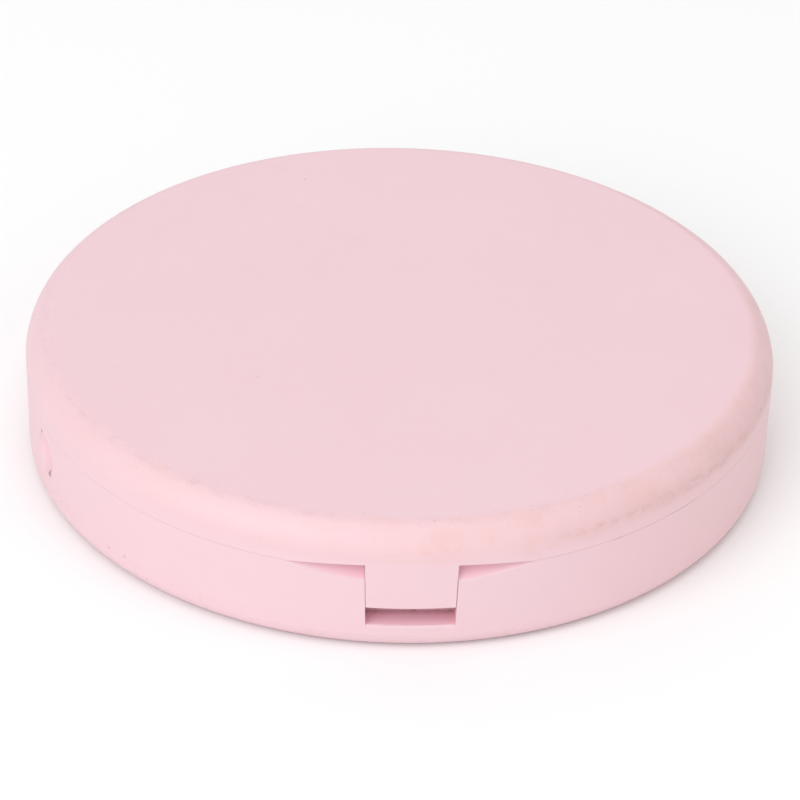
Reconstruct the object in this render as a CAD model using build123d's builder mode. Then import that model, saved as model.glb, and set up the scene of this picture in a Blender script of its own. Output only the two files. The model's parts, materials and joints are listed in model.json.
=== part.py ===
from build123d import *
from math import asin, atan2, cos, degrees, hypot, radians, sin, tan
import os

# Round pill splitter compact, closed. Millimetres, +Z up, origin at the centre of the underside.
# The latch tab is at -Y, the lid hinge at +Y, and the cutting plane is X = 0.

# Envelope
outer_radius = 40.0
total_height = 14.5
parting_height = 9.6
parting_gap = 0.014
base_top = parting_height - parting_gap / 2
lid_bottom = parting_height + parting_gap / 2
rim_break = 0.02
overlap = 0.2

# Base shell
wall = 1.8
inner_radius = outer_radius - wall
floor_thickness = 1.5
foot_radius = 1.86
underside_recess_radius = 32.5
underside_recess_depth = 0.3
band_radius = 37.05
band_bottom = 6.5
lip_radius = 37.95
lip_top = 10.7
lip_back_limit = 22.0

# Lid shell: slightly crowned top, a tight shoulder and an elliptical round-over
lid_top_thickness = 1.6
lid_ceiling = total_height - lid_top_thickness
round_over_radial = 3.9
round_over_axial = 3.53
lid_inner_corner = 2.5
crown_angle = 1.4
crown_flat_radius = 8.0
shoulder_angle = 32.5

# Lid hinge, flush in a notch at the back
hinge_y = 37.4
hinge_z = parting_height
barrel_radius = 1.7
hinge_pin_radius = 0.75
tight_clearance = 0.01
running_clearance = 0.05
notch_half_width = 14.3
notch_front = hinge_y - 2.2
notch_floor = 5.7
notch_ceiling = 12.6
notch_wall = 1.2
lid_knuckle_half = 4.9
base_knuckle_inner = 5.2
base_knuckle_outer = 10.4
hinge_pin_half = 9.9
knuckle_trim = 0.1

# Latch tab, the pocket that it closes over, and the thumb scoop on both sides of it
tab_half_width = 4.58
latch_draft = 1.4
latch_clearance = 0.025
tab_inner_radius = 38.6
tab_bottom = 5.08
tab_root = 10.8
tab_side_radius = 0.14
tab_edge_radius = 0.1
pocket_back_y = -37.36
pocket_frame_half_width = 5.9
pocket_frame_radius = 36.3
pocket_floor = 3.0
pocket_edge_radius = 0.25
scoop_apex_y = -38.05
scoop_half_length = 14.0
base_scoop_slope = 0.799
lid_scoop_slope = 0.358
snap_bump_height = 6.2
snap_ridge_height = 7.6
snap_bump_radius = 0.45
snap_ridge_radius = 0.6
snap_half_width = 3.2

# Shallow dimple over the moulding gate, on the left of the tab
dimple_angle = -158.7
dimple_height = 6.3
dimple_sphere_radius = 2.8
dimple_depth = 1.1

# Deck: the inner tray with two storage wells and the cutting station
deck_radius = 36.8
deck_top = 8.8
deck_plate = 1.2
deck_bottom = deck_top - deck_plate
deck_back = 33.5
deck_edge = 0.25
deck_pocket_half_width = 6.4
deck_pocket_front = -35.7
well_radius = 34.2
well_inner_x = 15.2
well_half_length = 26.0
well_corner = 3.0
well_wall = 1.0
well_floor = 2.6
well_floor_radius = 1.8
station_half_width = 13.5
station_front = -26.0
station_back = 21.0
station_corner = 2.5
bed_top = 3.4
bed_thickness = 1.0
tray_wall = 1.0
screw_places = [(-9.5, -30.6), (9.5, -30.6), (-10.0, 28.0), (10.0, 28.0)]
boss_radius = 2.5
base_boss_top = 3.5
deck_boss_bottom = 3.6
deck_pilot_top = 7.9

# Screws through the underside
deck_screw_radius = 1.0
deck_screw_head_radius = 1.75
deck_screw_head_bottom = 0.5
deck_screw_head_top = 1.8
deck_screw_tip = 7.4
deck_screw_bore = 2.0
screw_head_round = 0.3
screw_tip_chamfer = 0.3
cross_depth = 0.6
cross_width = 0.5
cross_length = 1.3
pin_chamfer = 0.15

# Pill seat and cutting mat in the station
mat_thickness = 1.0
mat_margin = 0.2
mat_top = bed_top + mat_thickness
mat_groove_half_width = 0.6
mat_groove_depth = 0.6
mat_groove_front = -16.0
mat_groove_back = 14.5
seat_half_width = 12.3
seat_front = -13.0
seat_back = 20.4
seat_top = 8.4
seat_corner = 2.0
seat_edge = 0.5
vee_apex_y = 13.0
vee_half_angle = 22.0
slot_half_width = 0.7
slot_front = 9.0
slot_back = 15.5
peg_places = [(-9.0, 14.5), (9.0, 14.5)]
peg_radius = 1.2
peg_top = 7.4
peg_clearance = 0.06

# Blade, its carrier and clamp, under the lid
blade_half_thickness = 0.2
blade_front = -14.0
blade_back = 12.0
blade_edge_z = 4.2
blade_top = 11.0
blade_bevel = 1.4
blade_edge_land = 0.015
blade_screw_y = (-7.5, 7.0)
blade_screw_z = 10.03
blade_hole_radius = 0.75
liner_radius = 35.6
liner_bottom = 12.0
liner_top = 12.86
liner_edge = 0.4
carrier_top = 11.96
carrier_bottom = 11.1
rail_bottom = 9.0
rail_outer_x = -2.9
rail_front = -15.2
rail_back = 14.8
blade_gap = 0.02
clamp_outer_x = 2.2
clamp_front = -14.6
clamp_back = 13.6
clamp_bottom = 9.05
clamp_top = 11.02
clamp_edge = 0.5
plate_half_width = 3.8
front_foot_half_width = 7.0
front_foot_front = -25.0
front_foot_back = -19.4
rear_foot_half_width = 9.6
rear_foot_back = 29.4
foot_corner = 1.5
window_half_width = 5.9
window_front = 17.6
window_back = 22.8
carrier_screw_places = [(-4.6, -22.2), (4.6, -22.2), (-6.4, 26.2), (6.4, 26.2)]
carrier_screw_radius = 0.85
carrier_screw_head_radius = 1.5
carrier_screw_head_bottom = 10.2
carrier_screw_tip = 13.6
carrier_pilot_top = 13.8
lid_boss_radius = 2.1
lid_boss_bottom = 12.06
liner_hole_radius = 2.3
clamp_screw_radius = 0.6
clamp_screw_head_radius = 0.95
clamp_screw_head = 0.7
clamp_screw_head_round = 0.25
clamp_screw_tip = -2.4
slot_depth = 0.35
slot_width = 0.35

# Swinging blade guard on its pin, with a torsion spring
guard_y = 20.5
guard_z = 10.4
guard_pin_radius = 0.55
guard_pin_half = 7.6
ear_inner_x = 6.05
ear_outer_x = 7.45
ear_radius = 1.5
arm_inner_x = 4.2
arm_outer_x = 5.6
arm_boss_radius = 1.3
arm_bottom = 9.15
arm_top = 11.75
arm_low_top = 10.75
arm_step_y = 13.6
arm_step_run = 1.0
guard_front = -17.6
guard_bar_back = -16.2
guard_bar_top = 10.8
guard_web_front = 16.1
guard_web_back = 17.4
guard_web_top = 9.9
spring_wire_radius = 0.2
spring_coil_radius = 1.15
spring_pitch = 0.5
spring_full_turns = 8

# Soft caps under the lid that close the wells
cap_grow_outer = 1.3
cap_grow_inner = 0.3
cap_bottom = 8.95
cap_top = liner_bottom
cap_roof = 0.8
cap_edge = 0.5

os.makedirs("parts", exist_ok=True)


def save(piece, name):
    """Label a finished piece and write it to its own file."""
    piece.part.label = name
    export_step(piece.part, f"parts/{name}.step")


def well_outline(side, grow):
    """D-shaped outline of one storage well, grown outwards by a margin."""
    span = outer_radius
    with BuildSketch(mode=Mode.PRIVATE) as outline:
        Circle(well_radius + grow)
        with Locations((side * (well_inner_x - grow + span / 2), 0)):
            Rectangle(span, 2 * (well_half_length + grow), mode=Mode.INTERSECT)
        fillet(outline.vertices(), well_corner + grow)
    return outline.sketch


def station_outline(grow):
    """Rounded rectangle of the cutting station, grown outwards by a margin."""
    centre_y = (station_front + station_back) / 2
    with BuildSketch(mode=Mode.PRIVATE) as outline:
        with Locations((0, centre_y)):
            RectangleRounded(
                2 * (station_half_width + grow),
                station_back - station_front + 2 * grow,
                station_corner + grow,
            )
    return outline.sketch


def latch_outline(low, high, clearance):
    """Front outline of the latch tab or its pocket between two heights, with their draft."""
    low_half, high_half = (
        tab_half_width + clearance + (height - parting_height) * tan(radians(latch_draft))
        for height in (low, high)
    )
    with BuildSketch(mode=Mode.PRIVATE) as outline:
        with BuildLine():
            Polyline(
                (-low_half, low), (low_half, low), (high_half, high), (-high_half, high), close=True
            )
        make_face()
    return outline.sketch


def shoulder_radius(reach, height):
    """Radius of the shoulder that turns the round-over into a crown of the full height."""
    crown_tangent = tan(radians(crown_angle) / 2)
    rise = cos(radians(crown_angle)) - cos(radians(shoulder_angle))
    run = sin(radians(shoulder_angle)) - sin(radians(crown_angle))
    crown_rise = (reach - crown_flat_radius) * crown_tangent
    return (total_height - height - crown_rise) / (rise - run * crown_tangent)


def leg_angle(reach, rise, radius):
    """Slope, in degrees, of a straight leg that leaves a coil and reaches a given point."""
    return degrees(asin(radius / hypot(reach, rise)) + atan2(rise, reach))


well_sides = {"left": -1, "right": 1}
well_inside = {name: well_outline(side, 0) for name, side in well_sides.items()}
well_outside = {name: well_outline(side, well_wall) for name, side in well_sides.items()}
cap_inside = {name: well_outline(side, cap_grow_inner) for name, side in well_sides.items()}
cap_outside = {name: well_outline(side, cap_grow_outer) for name, side in well_sides.items()}
station_inside = station_outline(0)
station_outside = station_outline(tray_wall)
mat_outline = station_outline(-mat_margin)


# ---- Base shell -------------------------------------------------------------------------------
with BuildPart() as base_shell:
    with BuildSketch():
        Circle(outer_radius)
    extrude(amount=base_top)
    fillet(base_shell.edges().group_by(Axis.Z)[0], foot_radius)
    chamfer(base_shell.edges().group_by(Axis.Z)[-1], rim_break)

    # Cavity, with a thicker band near the rim
    with BuildSketch(Plane.XY.offset(floor_thickness)):
        Circle(inner_radius)
    extrude(amount=band_bottom - floor_thickness, mode=Mode.SUBTRACT)
    with BuildSketch(Plane.XY.offset(band_bottom)):
        Circle(band_radius)
    extrude(amount=base_top - band_bottom, mode=Mode.SUBTRACT)

    # Register lip that rises inside the lid, left out around the hinge
    with BuildSketch(Plane.XY.offset(base_top)):
        Circle(lip_radius)
        Circle(band_radius, mode=Mode.SUBTRACT)
        with Locations((0, lip_back_limit + outer_radius / 2)):
            Rectangle(2 * outer_radius, outer_radius, mode=Mode.SUBTRACT)
    extrude(amount=lip_top - base_top)

    # Walls around the latch pocket, then the pocket
    with BuildSketch(Plane.XY.offset(floor_thickness)):
        Circle(outer_radius - wall / 2)
        Circle(pocket_frame_radius, mode=Mode.SUBTRACT)
        with Locations((0, -outer_radius)):
            Rectangle(2 * pocket_frame_half_width, outer_radius, mode=Mode.INTERSECT)
    extrude(amount=base_top - floor_thickness)
    with BuildSketch(Plane.XY.offset(base_top)):
        Circle(lip_radius)
        Circle(pocket_frame_radius, mode=Mode.SUBTRACT)
        with Locations((0, -outer_radius)):
            Rectangle(2 * pocket_frame_half_width, outer_radius, mode=Mode.INTERSECT)
    extrude(amount=lip_top - base_top)
    with BuildSketch(Plane.XZ.offset(-pocket_back_y)):
        add(latch_outline(pocket_floor, total_height, latch_clearance))
    extrude(amount=outer_radius, mode=Mode.SUBTRACT)
    pocket_rim = (
        base_shell.edges()
        .filter_by_position(Axis.Z, pocket_floor, pocket_floor)
        .sort_by(Axis.Y)[0]
    )
    fillet(pocket_rim, pocket_edge_radius)

    # Snap ridge on the back wall of the pocket
    with BuildSketch(Plane.YZ):
        with Locations((pocket_back_y, snap_ridge_height)):
            Circle(snap_ridge_radius)
    extrude(amount=snap_half_width, both=True)

    # Thumb scoop: an inclined flat across the outer top edge
    with BuildSketch(Plane.YZ):
        with BuildLine():
            scoop_outer_y = -outer_radius - wall
            Polyline(
                (scoop_outer_y, parting_height - base_scoop_slope * (scoop_apex_y - scoop_outer_y)),
                (scoop_apex_y, parting_height),
                (scoop_apex_y, lip_top),
                (scoop_outer_y, lip_top),
                close=True,
            )
        make_face()
    extrude(amount=scoop_half_length, both=True, mode=Mode.SUBTRACT)

    # Hinge notch: an inner wall and a shelf box it in
    shelf_bottom = notch_floor - notch_wall
    with BuildSketch(Plane.XY.offset(shelf_bottom)):
        Circle(outer_radius - wall / 2)
        with Locations((0, notch_front - notch_wall + outer_radius / 2)):
            Rectangle(
                2 * (notch_half_width + notch_wall), outer_radius, mode=Mode.INTERSECT
            )
    extrude(amount=base_top - shelf_bottom)
    with BuildSketch(Plane.XY.offset(notch_floor)):
        with Locations((0, notch_front + outer_radius / 2)):
            Rectangle(2 * notch_half_width, outer_radius)
    extrude(amount=total_height - notch_floor, mode=Mode.SUBTRACT)

    # Two outer knuckles with the webs that carry them, trimmed to the round outline
    knuckle_length = base_knuckle_outer - base_knuckle_inner
    for side in (-1, 1):
        knuckle_middle = side * (base_knuckle_outer + base_knuckle_inner) / 2
        with BuildSketch(Plane.YZ.offset(knuckle_middle)):
            with Locations((hinge_y, hinge_z)):
                Circle(barrel_radius)
            with Locations(((notch_front + hinge_y) / 2, (notch_floor + hinge_z) / 2)):
                Rectangle(hinge_y - notch_front + 2 * overlap, hinge_z - notch_floor)
        extrude(amount=knuckle_length / 2, both=True)
    with BuildSketch(Plane.XY.offset(notch_floor)):
        Circle(outer_radius + barrel_radius)
        Circle(outer_radius - knuckle_trim, mode=Mode.SUBTRACT)
        with Locations((0, outer_radius)):
            Rectangle(2 * (base_knuckle_outer + overlap), outer_radius, mode=Mode.INTERSECT)
    extrude(amount=lip_top + barrel_radius - notch_floor, mode=Mode.SUBTRACT)
    with BuildSketch(Plane.YZ):
        with Locations((hinge_y, hinge_z)):
            Circle(hinge_pin_radius + tight_clearance)
    extrude(amount=base_knuckle_outer, both=True, mode=Mode.SUBTRACT)

    # Standoffs for the deck screws, with head pockets from below
    with BuildSketch(Plane.XY.offset(floor_thickness)):
        with Locations(*screw_places):
            Circle(boss_radius)
    extrude(amount=base_boss_top - floor_thickness)
    with BuildSketch():
        Circle(underside_recess_radius)
    extrude(amount=underside_recess_depth, mode=Mode.SUBTRACT)
    with BuildSketch():
        with Locations(*screw_places):
            Circle(deck_screw_bore)
    extrude(amount=deck_screw_head_top, mode=Mode.SUBTRACT)
    with BuildSketch():
        with Locations(*screw_places):
            Circle(deck_screw_radius + 2 * running_clearance)
    extrude(amount=base_boss_top, mode=Mode.SUBTRACT)

    # Dimple
    dimple_normal = Vector(cos(radians(dimple_angle)), sin(radians(dimple_angle)), 0)
    dimple_reach = outer_radius + dimple_sphere_radius - dimple_depth
    with Locations(dimple_normal * dimple_reach + Vector(0, 0, dimple_height)):
        Sphere(dimple_sphere_radius, mode=Mode.SUBTRACT)
save(base_shell, "base_shell")


# ---- Latch tab, flush with the outer wall; it is moulded in one with the lid shell ---------------
with BuildPart() as latch_tab:
    with BuildSketch(Plane.XY.offset(tab_bottom)):
        Circle(outer_radius)
        Circle(tab_inner_radius, mode=Mode.SUBTRACT)
    extrude(amount=tab_root - tab_bottom)
    with BuildSketch(Plane.XZ):
        add(latch_outline(tab_bottom, tab_root, 0))
    extrude(amount=outer_radius, mode=Mode.INTERSECT)
    tab_sides = latch_tab.edges().filter_by(GeomType.ELLIPSE).sort_by(Axis.Y)[:2]
    fillet(tab_sides, tab_side_radius)
    tab_lower_face = latch_tab.faces().sort_by(Axis.Z)[0]
    fillet(tab_lower_face.edges().sort_by(Axis.Y)[:3], tab_edge_radius)


# ---- Lid shell --------------------------------------------------------------------------------
with BuildPart() as lid_shell:
    # Closed section of the lid, turned about the axis
    with BuildSketch(Plane.XZ):
        with BuildLine():
            round_over_centre = (outer_radius - round_over_radial, total_height - round_over_axial)
            slope_ratio = tan(radians(shoulder_angle)) * round_over_radial / round_over_axial
            round_over = EllipticalCenterArc(
                round_over_centre,
                round_over_radial,
                round_over_axial,
                0,
                arc_size=degrees(atan2(1, slope_ratio)),
            )
            edge = round_over @ 1
            edge_radius = shoulder_radius(edge.X, edge.Y)
            shoulder = JernArc(edge, round_over % 1, edge_radius, shoulder_angle - crown_angle)
            TangentArc(shoulder @ 1, (crown_flat_radius, total_height), tangent=shoulder % 1)
            Polyline(
                (outer_radius, round_over_centre[1]),
                (outer_radius, lid_bottom + rim_break),
                (outer_radius - rim_break, lid_bottom),
                (inner_radius, lid_bottom),
                (inner_radius, lid_ceiling - lid_inner_corner),
            )
            CenterArc(
                (inner_radius - lid_inner_corner, lid_ceiling - lid_inner_corner),
                lid_inner_corner,
                0,
                90,
            )
            Polyline(
                (inner_radius - lid_inner_corner, lid_ceiling),
                (0, lid_ceiling),
                (0, total_height),
                (crown_flat_radius, total_height),
            )
        make_face()
    revolve(axis=Axis.Z)

    # Thumb scoop: a shallow relief in the lower edge
    with BuildSketch(Plane.YZ):
        with BuildLine():
            lid_scoop_outer_y = -outer_radius - wall
            Polyline(
                (
                    lid_scoop_outer_y,
                    parting_height + lid_scoop_slope * (scoop_apex_y - lid_scoop_outer_y),
                ),
                (scoop_apex_y, parting_height),
                (scoop_apex_y, tab_bottom),
                (lid_scoop_outer_y, tab_bottom),
                close=True,
            )
        make_face()
    extrude(amount=scoop_half_length, both=True, mode=Mode.SUBTRACT)

    # Latch tab with a snap bump inside
    add(latch_tab.part)
    with BuildSketch(Plane.YZ):
        with Locations((-tab_inner_radius, snap_bump_height)):
            Circle(snap_bump_radius)
    extrude(amount=snap_half_width, both=True)

    # Hinge notch under the rim, with its flat inner wall
    with BuildSketch(Plane.XY.offset(lid_bottom)):
        Circle(outer_radius - wall / 2)
        with Locations((0, notch_front - notch_wall + outer_radius / 2)):
            Rectangle(
                2 * (notch_half_width + notch_wall), outer_radius, mode=Mode.INTERSECT
            )
    extrude(amount=lid_ceiling - lid_bottom)
    with BuildSketch(Plane.XY.offset(lid_bottom - parting_gap)):
        with Locations((0, notch_front + outer_radius / 2)):
            Rectangle(2 * notch_half_width, outer_radius)
    extrude(amount=notch_ceiling - lid_bottom + parting_gap, mode=Mode.SUBTRACT)

    # Middle knuckle, hung from the notch
    with BuildSketch(Plane.YZ):
        with Locations((hinge_y, hinge_z)):
            Circle(barrel_radius)
        web_height = notch_ceiling - lid_bottom + overlap
        with Locations(((notch_front + hinge_y) / 2, lid_bottom + web_height / 2)):
            Rectangle(hinge_y - notch_front + 2 * overlap, web_height)
    extrude(amount=lid_knuckle_half, both=True)
    with BuildSketch(Plane.YZ):
        with Locations((hinge_y, hinge_z)):
            Circle(hinge_pin_radius + running_clearance)
    extrude(amount=lid_knuckle_half, both=True, mode=Mode.SUBTRACT)

    # Bosses for the carrier screws
    with BuildSketch(Plane.XY.offset(lid_boss_bottom)):
        with Locations(*carrier_screw_places):
            Circle(lid_boss_radius)
    extrude(amount=lid_ceiling - lid_boss_bottom)
    with BuildSketch(Plane.XY.offset(lid_boss_bottom)):
        with Locations(*carrier_screw_places):
            Circle(carrier_screw_radius + tight_clearance)
    extrude(amount=carrier_pilot_top - lid_boss_bottom, mode=Mode.SUBTRACT)
save(lid_shell, "lid_shell")


# ---- Hinge pin --------------------------------------------------------------------------------
with BuildPart() as hinge_pin:
    with BuildSketch(Plane.YZ):
        with Locations((hinge_y, hinge_z)):
            Circle(hinge_pin_radius)
    extrude(amount=hinge_pin_half, both=True)
    chamfer(hinge_pin.edges().filter_by(GeomType.CIRCLE), pin_chamfer)
save(hinge_pin, "hinge_pin")


# ---- Deck: one moulding with two wells, the cutting station, pegs and screw bosses ---------------
with BuildPart() as deck:
    with BuildSketch(Plane.XY.offset(deck_bottom)):
        Circle(deck_radius)
        with Locations((0, deck_back + outer_radius / 2)):
            Rectangle(2 * outer_radius, outer_radius, mode=Mode.SUBTRACT)
        with Locations((0, deck_pocket_front - outer_radius / 2)):
            Rectangle(2 * deck_pocket_half_width, outer_radius, mode=Mode.SUBTRACT)
    extrude(amount=deck_plate)
    chamfer(deck.faces().sort_by(Axis.Z)[-1].edges(), deck_edge)

    # Outsides of the wells, the station and the bosses
    for outline in well_outside.values():
        with BuildSketch(Plane.XY.offset(well_floor - well_wall)):
            add(outline)
        extrude(amount=deck_bottom - well_floor + well_wall)
    with BuildSketch(Plane.XY.offset(bed_top - bed_thickness)):
        add(station_outside)
    extrude(amount=deck_bottom - bed_top + bed_thickness)
    with BuildSketch(Plane.XY.offset(deck_boss_bottom)):
        with Locations(*screw_places):
            Circle(boss_radius)
    extrude(amount=deck_bottom - deck_boss_bottom)

    # Insides
    for outline in well_inside.values():
        with BuildSketch(Plane.XY.offset(well_floor)):
            add(outline)
        extrude(amount=deck_top - well_floor, mode=Mode.SUBTRACT)
    fillet(
        deck.edges().filter_by_position(Axis.Z, well_floor, well_floor),
        well_floor_radius,
    )
    with BuildSketch(Plane.XY.offset(bed_top)):
        add(station_inside)
    extrude(amount=deck_top - bed_top, mode=Mode.SUBTRACT)
    with BuildSketch(Plane.XY.offset(deck_boss_bottom)):
        with Locations(*screw_places):
            Circle(deck_screw_radius + tight_clearance)
    extrude(amount=deck_pilot_top - deck_boss_bottom, mode=Mode.SUBTRACT)

    # Pegs that locate the mat and the pill seat
    with BuildSketch(Plane.XY.offset(bed_top)):
        with Locations(*peg_places):
            Circle(peg_radius)
    extrude(amount=peg_top - bed_top)
    chamfer(
        deck.edges().filter_by_position(Axis.Z, peg_top, peg_top).filter_by(GeomType.CIRCLE),
        deck_edge,
    )
save(deck, "deck")


# ---- Deck screws, driven up through the underside ------------------------------------------------
with BuildPart() as deck_screws:
    with BuildSketch(Plane.XY.offset(deck_screw_head_bottom)):
        with Locations(*screw_places):
            Circle(deck_screw_head_radius)
    extrude(amount=deck_screw_head_top - deck_screw_head_bottom)
    fillet(deck_screws.edges().group_by(Axis.Z)[0], screw_head_round)
    with BuildSketch(Plane.XY.offset(deck_screw_head_top)):
        with Locations(*screw_places):
            Circle(deck_screw_radius)
    extrude(amount=deck_screw_tip - deck_screw_head_top)
    chamfer(deck_screws.edges().group_by(Axis.Z)[-1], screw_tip_chamfer)
    with BuildSketch(Plane.XY.offset(deck_screw_head_bottom)):
        with Locations(*screw_places):
            Rectangle(deck_screw_head_radius * cross_length, cross_width)
            Rectangle(cross_width, deck_screw_head_radius * cross_length)
    extrude(amount=cross_depth, mode=Mode.SUBTRACT)
save(deck_screws, "deck_screws")


# ---- Cutting mat with the groove that takes the blade's edge --------------------------------------
with BuildPart() as cutting_mat:
    with BuildSketch(Plane.XY.offset(bed_top)):
        add(mat_outline)
        with Locations(*peg_places):
            Circle(peg_radius + peg_clearance, mode=Mode.SUBTRACT)
    extrude(amount=mat_thickness)
    with BuildSketch(Plane.XY.offset(mat_top - mat_groove_depth)):
        with Locations((0, (mat_groove_front + mat_groove_back) / 2)):
            Rectangle(2 * mat_groove_half_width, mat_groove_back - mat_groove_front)
    extrude(amount=mat_groove_depth, mode=Mode.SUBTRACT)
save(cutting_mat, "cutting_mat")


# ---- Pill seat: a soft block with a V that centres the pill under the blade -----------------------
with BuildPart() as pill_seat:
    vee_half_width = (vee_apex_y - seat_front) * tan(radians(vee_half_angle))
    with BuildSketch(Plane.XY.offset(mat_top)):
        with Locations((0, (seat_front + seat_back) / 2)):
            RectangleRounded(2 * seat_half_width, seat_back - seat_front, seat_corner)
        with BuildLine():
            Polyline(
                (0, vee_apex_y),
                (-vee_half_width, seat_front),
                (-vee_half_width, seat_front - seat_corner),
                (vee_half_width, seat_front - seat_corner),
                (vee_half_width, seat_front),
                close=True,
            )
        make_face(mode=Mode.SUBTRACT)
        with Locations((0, (slot_front + slot_back) / 2)):
            Rectangle(2 * slot_half_width, slot_back - slot_front, mode=Mode.SUBTRACT)
        with Locations(*peg_places):
            Circle(peg_radius + peg_clearance, mode=Mode.SUBTRACT)
    extrude(amount=seat_top - mat_top)
    seat_rim = pill_seat.faces().sort_by(Axis.Z)[-1].outer_wire().edges()
    chamfer(seat_rim, seat_edge)
save(pill_seat, "pill_seat")


# ---- Lid liner: thin inner pan under the lid's top -----------------------------------------------
with BuildPart() as lid_liner:
    with BuildSketch(Plane.XY.offset(liner_bottom)):
        Circle(liner_radius)
        with Locations((0, deck_back + outer_radius / 2)):
            Rectangle(2 * outer_radius, outer_radius, mode=Mode.SUBTRACT)
        with Locations(*carrier_screw_places):
            Circle(liner_hole_radius, mode=Mode.SUBTRACT)
    extrude(amount=liner_top - liner_bottom)
    chamfer(lid_liner.faces().sort_by(Axis.Z)[-1].outer_wire().edges(), liner_edge)
save(lid_liner, "lid_liner")


# ---- Blade carrier: plate, rail that backs the blade, and ears for the guard pin -----------------
with BuildPart() as blade_carrier:
    plate_thickness = carrier_top - carrier_bottom
    with BuildSketch(Plane.XY.offset(carrier_bottom)):
        with Locations((0, (front_foot_front + rear_foot_back) / 2)):
            Rectangle(2 * plate_half_width, rear_foot_back - front_foot_front)
        with Locations((0, (front_foot_front + front_foot_back) / 2)):
            RectangleRounded(
                2 * front_foot_half_width, front_foot_back - front_foot_front, foot_corner
            )
        with Locations((0, (rail_back + rear_foot_back) / 2)):
            RectangleRounded(2 * rear_foot_half_width, rear_foot_back - rail_back, foot_corner)
        with Locations((0, (window_front + window_back) / 2)):
            Rectangle(
                2 * window_half_width, window_back - window_front, mode=Mode.SUBTRACT
            )
        with Locations(*carrier_screw_places):
            Circle(carrier_screw_radius + running_clearance, mode=Mode.SUBTRACT)
    extrude(amount=plate_thickness)

    # Rail on the left of the blade
    rail_inner_x = -blade_half_thickness - blade_gap
    with BuildSketch(Plane.XY.offset(rail_bottom)):
        with Locations(((rail_inner_x + rail_outer_x) / 2, (rail_front + rail_back) / 2)):
            Rectangle(rail_inner_x - rail_outer_x, rail_back - rail_front)
    extrude(amount=carrier_bottom - rail_bottom)
    with BuildSketch(Plane.YZ.offset(rail_inner_x)):
        with Locations(*[(y, blade_screw_z) for y in blade_screw_y]):
            Circle(clamp_screw_radius + tight_clearance)
    extrude(amount=clamp_screw_tip - rail_inner_x - overlap, mode=Mode.SUBTRACT)

    # Ears
    for side in (-1, 1):
        with BuildSketch(Plane.YZ.offset(side * (ear_inner_x + ear_outer_x) / 2)):
            with Locations((guard_y, guard_z)):
                Circle(ear_radius)
            with Locations((guard_y, (guard_z + carrier_top) / 2)):
                Rectangle(2 * ear_radius, carrier_top - guard_z)
        extrude(amount=(ear_outer_x - ear_inner_x) / 2, both=True)
    with BuildSketch(Plane.YZ):
        with Locations((guard_y, guard_z)):
            Circle(guard_pin_radius + tight_clearance)
    extrude(amount=ear_outer_x, both=True, mode=Mode.SUBTRACT)
save(blade_carrier, "blade_carrier")


# ---- Carrier screws, up through the carrier and liner into the lid's bosses ----------------------
with BuildPart() as carrier_screws:
    with BuildSketch(Plane.XY.offset(carrier_screw_head_bottom)):
        with Locations(*carrier_screw_places):
            Circle(carrier_screw_head_radius)
    extrude(amount=carrier_bottom - carrier_screw_head_bottom)
    fillet(carrier_screws.edges().group_by(Axis.Z)[0], screw_head_round)
    with BuildSketch(Plane.XY.offset(carrier_bottom)):
        with Locations(*carrier_screw_places):
            Circle(carrier_screw_radius)
    extrude(amount=carrier_screw_tip - carrier_bottom)
    chamfer(carrier_screws.edges().group_by(Axis.Z)[-1], screw_tip_chamfer)
    with BuildSketch(Plane.XY.offset(carrier_screw_head_bottom)):
        with Locations(*carrier_screw_places):
            Rectangle(carrier_screw_head_radius * cross_length, cross_width)
            Rectangle(cross_width, carrier_screw_head_radius * cross_length)
    extrude(amount=slot_depth, mode=Mode.SUBTRACT)
save(carrier_screws, "carrier_screws")


# ---- Blade: straight, with a double bevel and two fixing holes ------------------------------------
with BuildPart() as blade:
    with BuildSketch(Plane.XZ.offset(-blade_back)):
        with BuildLine():
            Polyline(
                (-blade_half_thickness, blade_top),
                (blade_half_thickness, blade_top),
                (blade_half_thickness, blade_edge_z + blade_bevel),
                (blade_edge_land, blade_edge_z),
                (-blade_edge_land, blade_edge_z),
                (-blade_half_thickness, blade_edge_z + blade_bevel),
                close=True,
            )
        make_face()
    extrude(amount=blade_back - blade_front)
    with BuildSketch(Plane.YZ):
        with Locations(*[(y, blade_screw_z) for y in blade_screw_y]):
            Circle(blade_hole_radius)
    extrude(amount=blade_half_thickness, both=True, mode=Mode.SUBTRACT)
save(blade, "blade")


# ---- Blade clamp on the right of the blade --------------------------------------------------------
with BuildPart() as blade_clamp:
    clamp_inner_x = blade_half_thickness + blade_gap
    with BuildSketch(Plane.XY.offset(clamp_bottom)):
        with Locations(((clamp_inner_x + clamp_outer_x) / 2, (clamp_front + clamp_back) / 2)):
            Rectangle(clamp_outer_x - clamp_inner_x, clamp_back - clamp_front)
    extrude(amount=clamp_top - clamp_bottom)
    chamfer(
        blade_clamp.edges().filter_by(Axis.Z).group_by(Axis.X)[-1],
        clamp_edge,
    )
    with BuildSketch(Plane.YZ.offset(clamp_inner_x)):
        with Locations(*[(y, blade_screw_z) for y in blade_screw_y]):
            Circle(clamp_screw_radius + running_clearance)
    extrude(amount=clamp_outer_x - clamp_inner_x, mode=Mode.SUBTRACT)
save(blade_clamp, "blade_clamp")


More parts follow.
